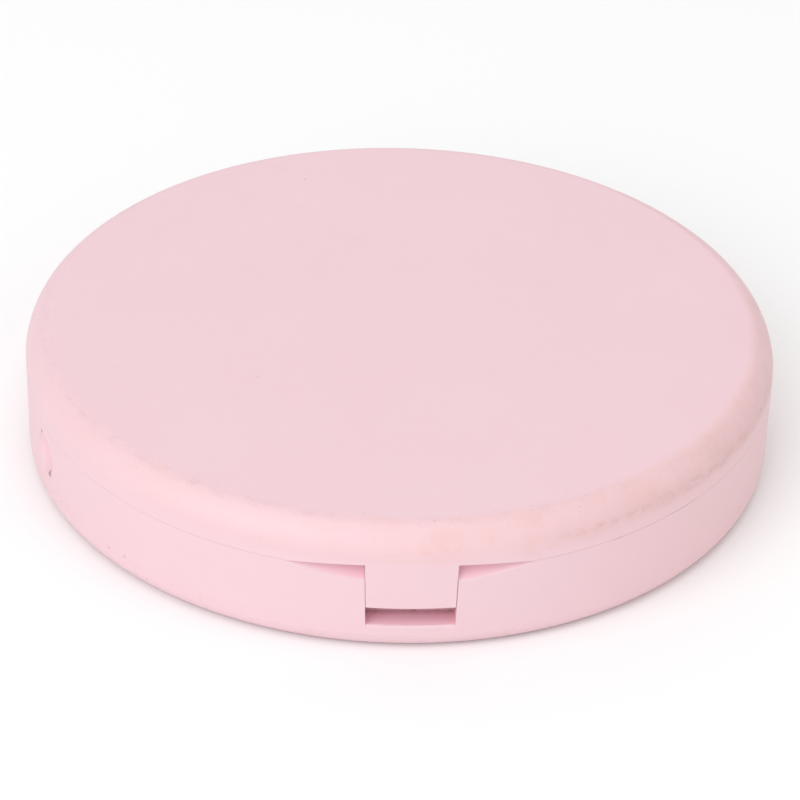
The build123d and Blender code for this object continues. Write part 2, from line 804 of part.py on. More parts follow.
# ---- Clamp screws ---------------------------------------------------------------------------------
with BuildPart() as clamp_screws:
    with BuildSketch(Plane.YZ.offset(clamp_outer_x)):
        with Locations(*[(y, blade_screw_z) for y in blade_screw_y]):
            Circle(clamp_screw_head_radius)
    extrude(amount=clamp_screw_head)
    fillet(clamp_screws.edges().group_by(Axis.X)[-1], clamp_screw_head_round)
    with BuildSketch(Plane.YZ.offset(clamp_outer_x)):
        with Locations(*[(y, blade_screw_z) for y in blade_screw_y]):
            Circle(clamp_screw_radius)
    extrude(amount=clamp_screw_tip - clamp_outer_x)
    with BuildSketch(Plane.YZ.offset(clamp_outer_x + clamp_screw_head)):
        with Locations(*[(y, blade_screw_z) for y in blade_screw_y]):
            Rectangle(2 * clamp_screw_head_radius, slot_width)
    extrude(amount=-slot_depth, mode=Mode.SUBTRACT)
save(clamp_screws, "clamp_screws")


# ---- Guard: two arms beside the blade, a front bar and a web for the spring -----------------------
with BuildPart() as blade_guard:
    for side in (-1, 1):
        with BuildSketch(Plane.YZ.offset(side * (arm_inner_x + arm_outer_x) / 2)):
            with BuildLine():
                Polyline(
                    (guard_front, arm_bottom),
                    (guard_y, arm_bottom),
                    (guard_y, arm_low_top),
                    (arm_step_y + arm_step_run, arm_low_top),
                    (arm_step_y, arm_top),
                    (guard_bar_back + arm_step_run, arm_top),
                    (guard_bar_back, guard_bar_top),
                    (guard_front, guard_bar_top),
                    close=True,
                )
            make_face()
            with Locations((guard_y, guard_z)):
                Circle(arm_boss_radius)
        extrude(amount=(arm_outer_x - arm_inner_x) / 2, both=True)
    with BuildSketch(Plane.XY.offset(arm_bottom)):
        with Locations((0, (guard_front + guard_bar_back) / 2)):
            Rectangle(2 * (arm_inner_x + overlap), guard_bar_back - guard_front)
    extrude(amount=guard_bar_top - arm_bottom)
    with BuildSketch(Plane.XY.offset(arm_bottom)):
        with Locations((0, (guard_web_front + guard_web_back) / 2)):
            Rectangle(2 * (arm_inner_x + overlap), guard_web_back - guard_web_front)
    extrude(amount=guard_web_top - arm_bottom)
    with BuildSketch(Plane.YZ):
        with Locations((guard_y, guard_z)):
            Circle(guard_pin_radius + running_clearance)
    extrude(amount=arm_outer_x, both=True, mode=Mode.SUBTRACT)
save(blade_guard, "blade_guard")


# ---- Guard pin ------------------------------------------------------------------------------------
with BuildPart() as guard_pin:
    with BuildSketch(Plane.YZ):
        with Locations((guard_y, guard_z)):
            Circle(guard_pin_radius)
    extrude(amount=guard_pin_half, both=True)
    chamfer(guard_pin.edges().filter_by(GeomType.CIRCLE), pin_chamfer)
save(guard_pin, "guard_pin")


# ---- Guard spring: a torsion spring whose legs bear on the guard's web and the carrier's plate ----
leg_margin = 0.06
web_leg_reach = guard_y - (guard_web_front + guard_web_back) / 2
web_leg_rise = guard_z - (guard_web_top + spring_wire_radius + leg_margin)
plate_leg_reach = guard_y - (rail_back + window_front) / 2
plate_leg_rise = carrier_bottom - spring_wire_radius - leg_margin - guard_z
web_leg_slope = leg_angle(web_leg_reach, web_leg_rise, spring_coil_radius)
plate_leg_slope = leg_angle(plate_leg_reach, plate_leg_rise, spring_coil_radius)
coil_start_angle = -90 - plate_leg_slope
coil_turns = spring_full_turns + (180 + web_leg_slope + plate_leg_slope) / 360
coil_length = coil_turns * spring_pitch
coil_origin = Vector(-coil_length / 2, guard_y, guard_z)
coil_start = Vector(0, cos(radians(coil_start_angle)), sin(radians(coil_start_angle)))
coil_plane = Plane(origin=coil_origin, x_dir=coil_start, z_dir=(1, 0, 0))


def leg_length(reach, rise):
    """Length of a leg from the point where it leaves the coil."""
    return (reach**2 + rise**2 - spring_coil_radius**2) ** 0.5


with BuildLine() as coil_line:
    Helix(spring_pitch, coil_length, spring_coil_radius)
coil = coil_plane.location * coil_line.edges()[0]
plate_leg_tip = coil @ 0 - (coil % 0) * leg_length(plate_leg_reach, plate_leg_rise)
web_leg_tip = coil @ 1 + (coil % 1) * leg_length(web_leg_reach, web_leg_rise)
with BuildPart() as guard_spring:
    with BuildLine() as spring_wire:
        Line(plate_leg_tip, coil @ 0)
        add(coil)
        Line(coil @ 1, web_leg_tip)
    with BuildSketch(Plane(origin=plate_leg_tip, z_dir=coil % 0)):
        Circle(spring_wire_radius)
    sweep(path=spring_wire.wire())
save(guard_spring, "guard_spring")


# ---- Well caps: soft shallow covers under the liner that close the wells -------------------------
for cap_name in well_sides:
    with BuildPart() as well_cap:
        with BuildSketch(Plane.XY.offset(cap_bottom)):
            add(cap_outside[cap_name])
        extrude(amount=cap_top - cap_bottom)
        chamfer(well_cap.faces().sort_by(Axis.Z)[-1].edges(), cap_edge)
        with BuildSketch(Plane.XY.offset(cap_bottom)):
            add(cap_inside[cap_name])
        extrude(amount=cap_top - cap_roof - cap_bottom, mode=Mode.SUBTRACT)
    save(well_cap, f"{cap_name}_well_cap")
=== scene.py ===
import json
import math

import bmesh
import bpy
from mathutils import Matrix, Vector
from mathutils.geometry import delaunay_2d_cdt


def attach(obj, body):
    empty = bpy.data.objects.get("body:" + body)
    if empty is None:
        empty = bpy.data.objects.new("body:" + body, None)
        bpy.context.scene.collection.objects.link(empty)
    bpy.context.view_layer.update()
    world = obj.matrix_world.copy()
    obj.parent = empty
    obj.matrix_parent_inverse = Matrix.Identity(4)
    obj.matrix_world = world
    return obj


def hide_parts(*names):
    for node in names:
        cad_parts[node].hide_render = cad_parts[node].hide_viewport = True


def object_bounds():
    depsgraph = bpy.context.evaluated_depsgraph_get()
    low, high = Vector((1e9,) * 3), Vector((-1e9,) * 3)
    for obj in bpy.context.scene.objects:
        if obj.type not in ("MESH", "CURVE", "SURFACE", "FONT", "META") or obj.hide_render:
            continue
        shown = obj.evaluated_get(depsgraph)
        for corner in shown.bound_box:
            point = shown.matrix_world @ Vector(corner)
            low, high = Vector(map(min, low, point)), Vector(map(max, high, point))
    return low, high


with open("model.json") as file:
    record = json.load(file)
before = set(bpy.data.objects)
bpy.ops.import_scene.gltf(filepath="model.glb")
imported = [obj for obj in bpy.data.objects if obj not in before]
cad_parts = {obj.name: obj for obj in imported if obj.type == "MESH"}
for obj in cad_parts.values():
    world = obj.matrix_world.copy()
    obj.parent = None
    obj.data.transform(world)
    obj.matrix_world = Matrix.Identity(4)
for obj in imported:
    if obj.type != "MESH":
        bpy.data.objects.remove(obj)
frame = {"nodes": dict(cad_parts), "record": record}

# Round pill splitter compact on a pale studio floor. Metres, in the CAD frame: +Z up, the latch
# tab at -Y, the hinge at +Y, the cutting plane at X = 0.

MM = 0.001
cad_low, cad_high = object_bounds()
RADIUS = (cad_high.x - cad_low.x) / 2
HEIGHT = cad_high.z

# The lid's shoulder, where lid and base meet, and the latch tab, its pocket and the thumb scoop
SHOULDER_RADIUS = RADIUS - 2.5 * MM
PARTING_Z = 9.6 * MM
TAB_HALF_WIDTH = 4.6 * MM
TAB_BOTTOM_Z = 5.08 * MM
POCKET_FLOOR_Z = 3.0 * MM
SCOOP_HALF_LENGTH = 14.0 * MM


# ---- Camera -------------------------------------------------------------------------------------

CAMERA_ELEVATION = math.radians(32.49)
CAMERA_AZIMUTH = math.radians(-2.56)
CAMERA_ROLL = 0.0276
CAMERA_DISTANCE = 8.423 * RADIUS
CAMERA_LENS_MM = 140.08
SENSOR_MM = 36.0
TARGET_RIGHT = 0.0043 * RADIUS
TARGET_UP = -0.0785 * RADIUS


def make_camera():
    """A long lens in front of the latch tab, a little to its left, looking down on the lid."""
    right = Vector((math.cos(CAMERA_AZIMUTH), math.sin(CAMERA_AZIMUTH), 0))
    front = Vector((math.sin(CAMERA_AZIMUTH), -math.cos(CAMERA_AZIMUTH), 0))
    back = front * math.cos(CAMERA_ELEVATION) + Vector((0, 0, math.sin(CAMERA_ELEVATION)))
    middle = Vector((0, 0, HEIGHT / 2))
    place = middle + back * CAMERA_DISTANCE
    target = middle + right * TARGET_RIGHT + back.cross(right) * TARGET_UP

    axis_z = (place - target).normalized()
    level_x = Vector((0, 0, 1)).cross(axis_z).normalized()
    level_y = axis_z.cross(level_x)
    axis_x = level_x * math.cos(CAMERA_ROLL) + level_y * math.sin(CAMERA_ROLL)
    axis_y = axis_z.cross(axis_x)
    camera = bpy.data.objects.new("camera", bpy.data.cameras.new("camera"))
    camera.data.lens = CAMERA_LENS_MM
    camera.data.sensor_width = SENSOR_MM
    camera.data.clip_start = 0.01
    camera.data.clip_end = 20.0
    turn = Matrix((axis_x, axis_y, axis_z)).transposed().to_4x4()
    camera.matrix_world = Matrix.Translation(place) @ turn
    bpy.context.collection.objects.link(camera)
    bpy.context.scene.camera = camera


# ---- Floor and light ------------------------------------------------------------------------------

AMBIENT = 0.62
# name: direction round the object from -Y towards +X and height (degrees), width (m), power (W)
LAMPS = {
    "key": (-42, 34, 0.9, 4.15),
    "top": (-10, 80, 0.9, 2.1),
    "front": (0, 18, 0.7, 0.5),
    "fill": (60, 30, 0.9, 0.95),
    "rear": (180, 35, 0.9, 1.0),
}
LAMP_DISTANCE = 1.0
FLOOR_HALF = 3.0
FLOOR_TOP = -0.02 * MM


def make_lights():
    """Large soft boxes on all sides of a white world, the strongest from the front left."""
    world = bpy.data.worlds.new("studio")
    world.use_nodes = True
    world.node_tree.nodes["Background"].inputs["Color"].default_value = (1, 1, 1, 1)
    world.node_tree.nodes["Background"].inputs["Strength"].default_value = AMBIENT
    bpy.context.scene.world = world
    bpy.context.scene.view_settings.view_transform = "Standard"
    for name, (azimuth, elevation, width, power) in LAMPS.items():
        lamp = bpy.data.lights.new(name, "AREA")
        lamp.shape = "DISK"
        lamp.size = width
        lamp.energy = power
        a, e = math.radians(azimuth), math.radians(elevation)
        toward = Vector((math.sin(a) * math.cos(e), -math.cos(a) * math.cos(e), math.sin(e)))
        box = bpy.data.objects.new(name, lamp)
        box.location = toward * LAMP_DISTANCE
        box.rotation_mode = "QUATERNION"
        box.rotation_quaternion = (-toward).to_track_quat("-Z", "Y")
        bpy.context.collection.objects.link(box)


def make_floor(material):
    """A wide white sweep that the compact rests on, a hair below it."""
    around = ((-1, -1), (1, -1), (1, 1), (-1, 1))
    mesh = bpy.data.meshes.new("floor")
    corners = [(x * FLOOR_HALF, y * FLOOR_HALF, FLOOR_TOP) for x, y in around]
    mesh.from_pydata(corners, [], [(0, 1, 2, 3)])
    floor = bpy.data.objects.new("floor", mesh)
    floor.data.materials.append(material)
    bpy.context.collection.objects.link(floor)


# ---- Materials ------------------------------------------------------------------------------------


class Finish:
    """A material's node tree, written as formulas. Lengths are in metres of object space."""

    def __init__(self, name, color, roughness, **sockets):
        self.material = bpy.data.materials.new(name)
        self.material.use_nodes = True
        self.tree = self.material.node_tree
        self.shader = self.tree.nodes["Principled BSDF"]
        self.place = self.tree.nodes.new("ShaderNodeTexCoord").outputs["Object"]
        self.normal = None
        split = self.node("ShaderNodeSeparateXYZ", {"Vector": self.place})
        self.x, self.y, self.z = (split.outputs[axis] for axis in "XYZ")
        self.set("Base Color", (*color, 1))
        self.set("Roughness", roughness)
        self.color = (*color, 1)
        for socket, value in sockets.items():
            self.set(socket.replace("_", " "), value)

    def feed(self, socket, value):
        if isinstance(value, bpy.types.NodeSocket):
            self.tree.links.new(value, socket)
        else:
            socket.default_value = value

    def node(self, kind, inputs=None, **settings):
        made = self.tree.nodes.new(kind)
        for name, value in settings.items():
            setattr(made, name, value)
        for name, value in (inputs or {}).items():
            self.feed(made.inputs[name], value)
        return made

    def set(self, socket, value):
        self.feed(self.shader.inputs[socket], value)

    def math(self, operation, a, b=0.0):
        return self.node("ShaderNodeMath", {0: a, 1: b}, operation=operation).outputs[0]

    def add(self, a, b):
        return self.math("ADD", a, b)

    def times(self, a, b, *more):
        product = self.math("MULTIPLY", a, b)
        return self.times(product, *more) if more else product

    def radius(self):
        """Distance from the compact's axis."""
        squares = self.add(self.math("POWER", self.x, 2.0), self.math("POWER", self.y, 2.0))
        return self.math("SQRT", squares)

    def facing_out(self):
        """1 on surfaces that face outwards or up, in the piece's own frame, 0 on inner walls."""
        normal = self.node("ShaderNodeTexCoord").outputs["Normal"]
        split = self.node("ShaderNodeSeparateXYZ", {"Vector": normal})
        across = self.add(self.times(self.x, split.outputs["X"]), self.times(self.y, split.outputs["Y"]))
        outwards = self.math("DIVIDE", across, self.add(self.radius(), 1e-6))
        return self.fade(self.math("MAXIMUM", outwards, split.outputs["Z"]), 0.05, 0.3)

    def bearing(self, degrees, spread):
        """1 in the direction given (0 is +X, -90 the latch tab), falling to 0 at spread away."""
        a = math.radians(degrees)
        along = self.add(self.times(self.x, math.cos(a)), self.times(self.y, math.sin(a)))
        cosine = self.math("DIVIDE", along, self.add(self.radius(), 1e-6))
        return self.fade(cosine, math.cos(math.radians(spread)), 1.0)

    def fade(self, value, zero_at, one_at):
        """Smooth step from 0 to 1."""
        sockets = {"Value": value, "From Min": zero_at, "From Max": one_at}
        return self.node(
            "ShaderNodeMapRange", sockets, interpolation_type="SMOOTHSTEP"
        ).outputs["Result"]

    def band(self, value, middle, half_width):
        """1 at middle, 0 beyond half_width on both sides."""
        away = self.math("ABSOLUTE", self.add(value, -middle))
        return self.fade(away, half_width, 0.0)

    def away_from(self, value, middle, distance, blur):
        """0 within a distance of the middle, 1 further out."""
        return self.fade(self.math("ABSOLUTE", self.add(value, -middle)), distance, distance + blur)

    def spot(self, bearing, z, radius, reach=RADIUS):
        """1 at one place on the outer wall, falling to 0 at a radius from it. Degrees and mm."""
        a = math.radians(bearing)
        centre = (reach * math.cos(a), reach * math.sin(a), z * MM)
        apart = self.node("ShaderNodeVectorMath", {0: self.place, 1: centre}, operation="DISTANCE")
        return self.fade(apart.outputs["Value"], radius * MM, 0.35 * radius * MM)

    def stretched(self, stretch, shift=0.0):
        sockets = {"Vector": self.place, "Scale": stretch, "Location": (shift, shift, shift)}
        return self.node("ShaderNodeMapping", sockets).outputs["Vector"]

    def noise(self, size, detail=2.0, roughness=0.5, stretch=(1, 1, 1), shift=0.0):
        """Soft noise from 0 to 1, with lumps about this size."""
        sockets = {
            "Vector": self.stretched(stretch, shift),
            "Scale": 1.0 / size,
            "Detail": detail,
            "Roughness": roughness,
        }
        return self.node("ShaderNodeTexNoise", sockets).outputs["Fac"]

    def specks(self, spacing, size, share, stretch=(1, 1, 1), shift=0.0):
        """Separate round specks: 1 inside, in a share of the cells of this spacing."""
        sockets = {"Vector": self.stretched(stretch, shift), "Scale": 1.0 / spacing}
        cells = self.node("ShaderNodeTexVoronoi", sockets)
        chosen = self.node("ShaderNodeSeparateColor", {"Color": cells.outputs["Color"]})
        inside = self.fade(cells.outputs["Distance"], size / spacing, 0.4 * size / spacing)
        return self.times(inside, self.math("LESS_THAN", chosen.outputs[0], share))

    def tint(self, factor, color):
        """Blends the base colour towards another where factor is 1."""
        mix = self.node("ShaderNodeMix", data_type="RGBA")
        self.feed(mix.inputs[0], factor)
        self.feed(mix.inputs[6], self.color)
        self.feed(mix.inputs[7], (*color, 1))
        self.color = mix.outputs[2]
        self.set("Base Color", self.color)

    def bump(self, height, depth):
        """Adds relief of this depth, in metres, where height goes from 0 to 1."""
        sockets = {"Height": height, "Distance": depth, "Strength": 1.0}
        if self.normal is not None:
            sockets["Normal"] = self.normal
        self.normal = self.node("ShaderNodeBump", sockets).outputs["Normal"]
        self.set("Normal", self.normal)

    def vary_roughness(self, value, low, high):
        sockets = {"Value": value, "To Min": low, "To Max": high}
        self.set("Roughness", self.node("ShaderNodeMapRange", sockets).outputs["Result"])


# Colours, linear: the shells' plastic, what handling has left on it, a warmer tone for its right side,
# painted shade and painted bounce light for its hollows, and the other materials
PINK = (0.800, 0.563, 0.610)
PINK_LIGHT = (0.835, 0.615, 0.660)
PINK_DEEP = (0.760, 0.505, 0.555)
PINK_HOLLOW_SHADE = (0.840, 0.500, 0.570)
PINK_BOUNCE_LIGHT = (0.970, 0.610, 0.690)
SKIN_VEIL = (0.790, 0.532, 0.532)
WARMER_RIGHT_WALL = (0.825, 0.540, 0.536)
SKIN_ORANGE = (0.785, 0.442, 0.425)
SKIN_GREY = (0.655, 0.440, 0.440)
BROWN = (0.360, 0.175, 0.142)
DIRT = (0.16, 0.075, 0.065)
POCKET_SHADE = (0.36, 0.15, 0.17)
TABLET_DUST = (0.86, 0.85, 0.82)
INSERT, INSERT_SHADE = (0.70, 0.69, 0.67), (0.66, 0.645, 0.61)
CARRIER, CARRIER_SHADE = (0.63, 0.62, 0.60), (0.58, 0.56, 0.53)
SEAT, SEAT_SHADE = (0.50, 0.50, 0.51), (0.44, 0.44, 0.45)
MAT, MAT_SHADE = (0.36, 0.37, 0.38), (0.31, 0.32, 0.33)
CAP, CAP_SHADE = (0.60, 0.61, 0.60), (0.55, 0.56, 0.54)
GROUND_STEEL = (0.62, 0.63, 0.65)
PLATED_STEEL = (0.60, 0.60, 0.60)
DRAWN_STEEL = (0.60, 0.60, 0.61)
SPRING_STEEL = (0.42, 0.42, 0.44)
FLOOR_PAPER, FLOOR_SHADE = (0.93, 0.93, 0.93), (0.90, 0.90, 0.90)

# Places on the outer wall: bearing in degrees, height and radius in mm. The dimple, the dark brown
# spots at its two tips, finger smears near the tab, and the worst nicks
DIMPLE = (-158.7, 6.3, 4.0)
DIMPLE_TIP_SPOTS = [(-157.0, 4.60, 0.72), (-160.0, 8.35, 0.40)]
SMEARS = [(-86.5, 12.0, 2.6), (-79.5, 12.0, 1.9), (-72.5, 12.3, 3.4), (-64.0, 12.1, 2.4)]
NICKS = [(-152.5, 2.9, 0.18), (-148.0, 3.4, 0.14), (-139.0, 2.6, 0.20), (-131.0, 1.5, 0.16)]

# Layers of round specks: spacing and size in mm, and a shift that sets their pattern
EDGE_PEPPER = [(0.6, 0.12, 0.4), (0.9, 0.15, 1.9), (1.7, 0.19, 5.2)]
FOOT_PEPPER = [(1.5, 0.22, 2.4), (2.6, 0.32, 3.9)]


def clouding(m):
    """The moulding's own faint variation of colour."""
    m.tint(m.times(m.fade(m.noise(14 * MM, detail=3), 0.35, 0.75), 0.16), PINK_LIGHT)
    m.tint(m.times(m.fade(m.noise(2.2 * MM, detail=4, shift=0.3), 0.45, 0.8), 0.12), PINK_DEEP)


def skin_grime(m, outside):
    """Warm grime where fingers open the lid: all along the front, heaviest at the front right."""
    lid_side = m.fade(m.z, PARTING_Z + 0.3 * MM, PARTING_Z + 2.4 * MM)
    cloudy = m.add(m.times(m.fade(m.noise(6 * MM, detail=4, shift=0.7), 0.3, 0.7), 0.6), 0.4)
    veil = m.times(outside, lid_side, m.bearing(-88, 105), cloudy)
    m.tint(m.times(veil, 0.66), SKIN_VEIL)

    orange = m.fade(m.noise(4.5 * MM, detail=5, roughness=0.6, shift=1.7), 0.30, 0.78)
    smear = m.times(outside, lid_side, m.bearing(-60, 52), orange)
    m.tint(m.times(smear, 0.44), SKIN_ORANGE)
    grey = m.fade(m.noise(2.6 * MM, detail=5, roughness=0.65, shift=2.9), 0.28, 0.82)
    m.tint(m.times(outside, lid_side, m.bearing(-26, 56), grey, 0.36), SKIN_GREY)

    # Worn brown line along the widest part of the round-over
    streak_noise = m.noise(1.3 * MM, detail=6, roughness=0.70, stretch=(1, 1, 2.0), shift=9.4)
    streaks = m.fade(streak_noise, 0.40, 0.78)
    wash = m.band(m.z, HEIGHT - 2.4 * MM, 1.7 * MM)
    m.tint(m.times(wash, outside, m.bearing(-30, 50), 0.07), BROWN)
    worn_line = m.band(m.z, HEIGHT - 2.75 * MM, 0.8 * MM)
    m.tint(m.times(worn_line, outside, streaks, m.bearing(-38, 44), 0.36), BROWN)
    rim_line = m.band(m.radius(), SHOULDER_RADIUS + 0.3 * MM, 0.9 * MM)
    on_top = m.fade(m.z, HEIGHT - 1.2 * MM, HEIGHT - 0.4 * MM)
    around = m.add(m.bearing(-150, 55), m.times(m.bearing(-88, 70), 0.7))
    m.tint(m.times(rim_line, on_top, streaks, around, 0.17), BROWN)
    for spot in SMEARS:
        m.tint(m.times(m.spot(*spot), cloudy, streaks, 0.55), SKIN_ORANGE)

    # Peppering of the front edge
    pepper_area = m.times(m.band(m.radius(), RADIUS - 1.9 * MM, 3.0 * MM), m.bearing(-85, 95))
    grain = m.fade(m.noise(0.35 * MM, detail=4, roughness=0.8, shift=6.3), 0.52, 0.72)
    m.tint(m.times(grain, pepper_area, lid_side, cloudy, 0.10), BROWN)
    for spacing, size, shift in EDGE_PEPPER:
        dots = m.specks(spacing * MM, size * MM, 0.26, shift=shift)
        m.tint(m.times(dots, pepper_area, lid_side, 0.24), BROWN)


def foot_grime(m, outside):
    """Scuffs round the foot, mostly on the left, and a faint darker edge where it meets things."""
    foot = m.times(m.fade(m.z, 4.2 * MM, 1.2 * MM), outside)
    scuffs = m.fade(m.noise(2.4 * MM, detail=6, roughness=0.7, shift=2.3), 0.46, 0.74)
    around = m.add(m.times(m.bearing(-148, 36), 0.5), 0.12)
    m.tint(m.times(foot, scuffs, around), SKIN_ORANGE)
    for spacing, size, shift in FOOT_PEPPER:
        dots = m.specks(spacing * MM, size * MM, 0.16, shift=shift)
        m.tint(m.times(dots, foot, m.add(m.bearing(-148, 36), 0.15), 0.50), BROWN)


def seam_grime(m, outside):
    """A thin line of dirt between lid and base, which stops at the thumb scoop."""
    off_scoop = m.math("MAXIMUM", m.away_from(m.x, 0, SCOOP_HALF_LENGTH, 0.5 * MM), m.fade(m.y, 0, MM))
    seam = m.times(m.band(m.z, PARTING_Z, 0.13 * MM), outside, off_scoop)
    m.tint(m.times(seam, m.noise(4 * MM, detail=4, shift=3.1), m.bearing(-45, 60), 0.10), BROWN)
    dashes = m.fade(m.noise(5 * MM, detail=2, shift=7.7), 0.50, 0.62)
    m.tint(m.times(seam, dashes, m.bearing(-50, 45), 0.22), BROWN)


def dimple_painted_shade_and_marks(m):
    """The dimple gets a painted deeper pink for the shade in its hollow and dark brown spots at its two
    tips, and there are nicks near the foot.
    """
    # Painted shade: a deeper, more saturated pink inside the dimple's hollow
    dimple = m.times(m.spot(*DIMPLE), m.fade(m.radius(), RADIUS - 0.1 * MM, RADIUS - 0.8 * MM))
    m.tint(m.times(dimple, 0.35), PINK_HOLLOW_SHADE)
    # Dark brown spots at the dimple's two tips
    for spot in DIMPLE_TIP_SPOTS:
        m.tint(m.times(m.spot(*spot), 0.90), BROWN)
    for spot in NICKS:
        m.tint(m.times(m.spot(*spot), 0.50), BROWN)


def latch_pocket_painted_light(m):
    """Painted light in the hollow pocket under the tab: a brighter pink on its floor as painted bounce
    light, darkening towards its back as painted shade, and a painted deeper pink shade on the flat of
    the thumb scoop.
    """
    across = m.fade(m.math("ABSOLUTE", m.x), TAB_HALF_WIDTH + 0.2 * MM, TAB_HALF_WIDTH)
    inside_pocket = m.fade(m.z, POCKET_FLOOR_Z - 0.5 * MM, POCKET_FLOOR_Z - 0.2 * MM)
    below_tab = m.fade(m.z, TAB_BOTTOM_Z + 0.2 * MM, TAB_BOTTOM_Z - 0.1 * MM)
    under = m.times(across, below_tab, inside_pocket)
    depth = m.fade(m.y, 1.7 * MM - RADIUS, 2.8 * MM - RADIUS)
    in_front = m.fade(m.y, 4.5 * MM - RADIUS, 3.5 * MM - RADIUS)
    # Painted bounce light: the pocket's floor and back wall a brighter, more saturated pink
    m.tint(m.times(under, in_front, m.fade(m.radius(), RADIUS, RADIUS - 0.5 * MM)), PINK_BOUNCE_LIGHT)
    # Painted shade: darker towards the back of the pocket, mottled with brown
    m.tint(m.times(under, in_front, depth, 0.45), POCKET_SHADE)
    mottling = m.fade(m.noise(0.8 * MM, detail=5, roughness=0.7, shift=8.1), 0.50, 0.66)
    m.tint(m.times(under, in_front, depth, mottling, 0.45), BROWN)
    # Painted shade: a deeper, more saturated pink on the flat of the thumb scoop
    flat_of_scoop = m.times(
        m.fade(m.math("ABSOLUTE", m.x), SCOOP_HALF_LENGTH, 0.4 * SCOOP_HALF_LENGTH),
        m.fade(m.z, PARTING_Z + 0.1 * MM, PARTING_Z),
        m.fade(m.z, PARTING_Z - 1.9 * MM, PARTING_Z - 1.5 * MM),
        m.fade(m.y, 1.9 * MM - RADIUS, 1.5 * MM - RADIUS),
        m.fade(m.radius(), RADIUS - 0.05 * MM, RADIUS - 0.35 * MM),
    )
    m.tint(m.times(flat_of_scoop, 0.8), PINK_HOLLOW_SHADE)


def shell_pink(name, is_lid):
    """Satin pink polypropylene, handled and carried in a bag, with painted shade and bounce light in the
    base's hollows.
    """
    m = Finish(name, PINK, 0.46, Specular_IOR_Level=0.5)
    near_rim = m.fade(m.radius(), SHOULDER_RADIUS - 1.0 * MM, SHOULDER_RADIUS + 1.1 * MM)
    outside = m.times(near_rim, m.facing_out())
    clouding(m)
    # A warmer, slightly darker tone on the outer wall towards the right
    m.tint(m.times(outside, m.bearing(-6, 72), 0.48), WARMER_RIGHT_WALL)
    if is_lid:
        skin_grime(m, outside)
    else:
        foot_grime(m, outside)
        dimple_painted_shade_and_marks(m)
        latch_pocket_painted_light(m)
    seam_grime(m, outside)

    # Specks of dirt, few and fine on the top, coarser near the edge
    m.tint(m.times(m.specks(5.2 * MM, 0.17 * MM, 0.20), 0.32), DIRT)
    m.tint(m.times(m.specks(3.1 * MM, 0.11 * MM, 0.22, shift=4.1), 0.26), DIRT)
    edge_specks = m.specks(2.9 * MM, 0.19 * MM, 0.13, stretch=(1, 1.5, 0.8), shift=11.3)
    m.tint(m.times(edge_specks, outside, 0.38), DIRT)
    m.vary_roughness(m.noise(7 * MM, detail=4, shift=4.0), 0.42, 0.52)
    m.bump(m.noise(0.22 * MM, detail=2, shift=5.0), 0.0016 * MM)
    m.bump(m.noise(9 * MM, detail=1, shift=6.0), 0.010 * MM)
    return m.material


def plain_plastic(name, color, shade, roughness):
    """Satin moulded plastic with faint clouding, a fine skin and a few specks."""
    m = Finish(name, color, roughness)
    m.tint(m.times(m.fade(m.noise(9 * MM, detail=4), 0.4, 0.75), 0.5), shade)
    m.tint(m.times(m.specks(3.1 * MM, 0.12 * MM, 0.2), 0.5), DIRT)
    m.vary_roughness(m.noise(4 * MM, detail=4, shift=2.0), roughness - 0.05, roughness + 0.08)
    m.bump(m.noise(0.2 * MM, detail=2, shift=3.0), 0.0015 * MM)
    return m.material


def elastomer(name, color, shade, grain):
    """Soft matte rubber with a fine grain and pale tablet dust on what faces up."""
    m = Finish(name, color, 0.72)
    m.tint(m.times(m.fade(m.noise(5 * MM, detail=5), 0.4, 0.75), 0.4), shade)
    facing = m.node("ShaderNodeNewGeometry").outputs["Normal"]
    up = m.node("ShaderNodeSeparateXYZ", {"Vector": facing}).outputs["Z"]
    mottling = m.times(
        m.fade(up, 0.5, 0.95),
        m.fade(m.noise(1.4 * MM, detail=7, roughness=0.75, shift=1.5), 0.48, 0.70),
    )
    m.tint(m.times(mottling, 0.22), TABLET_DUST)
    m.vary_roughness(m.noise(2 * MM, detail=4, shift=2.0), 0.62, 0.82)
    m.bump(m.noise(grain, detail=3, roughness=0.6, shift=3.0), 0.012 * MM)
    return m.material


def steel(name, color, roughness, grain_stretch, grain):
    """Drawn or ground steel: grain along one direction, faint smudges."""
    m = Finish(name, color, roughness, Metallic=1.0)
    lines = m.noise(grain, detail=4, roughness=0.7, stretch=grain_stretch)
    m.tint(m.times(m.fade(lines, 0.4, 0.7), 0.35), tuple(0.72 * c for c in color))
    smudge = m.noise(4 * MM, detail=4, shift=1.0)
    m.tint(m.times(m.fade(smudge, 0.5, 0.8), 0.25), tuple(0.8 * c for c in color))
    m.vary_roughness(lines, roughness - 0.08, roughness + 0.12)
    m.bump(lines, 0.002 * MM)
    return m.material


def floor_white():
    """Matte white paper sweep with a hardly visible tooth."""
    m = Finish("floor_white", FLOOR_PAPER, 0.9, Specular_IOR_Level=0.2)
    m.tint(m.times(m.noise(40 * MM, detail=3), 0.10), FLOOR_SHADE)
    m.bump(m.noise(0.8 * MM, detail=3), 0.01 * MM)
    return m.material


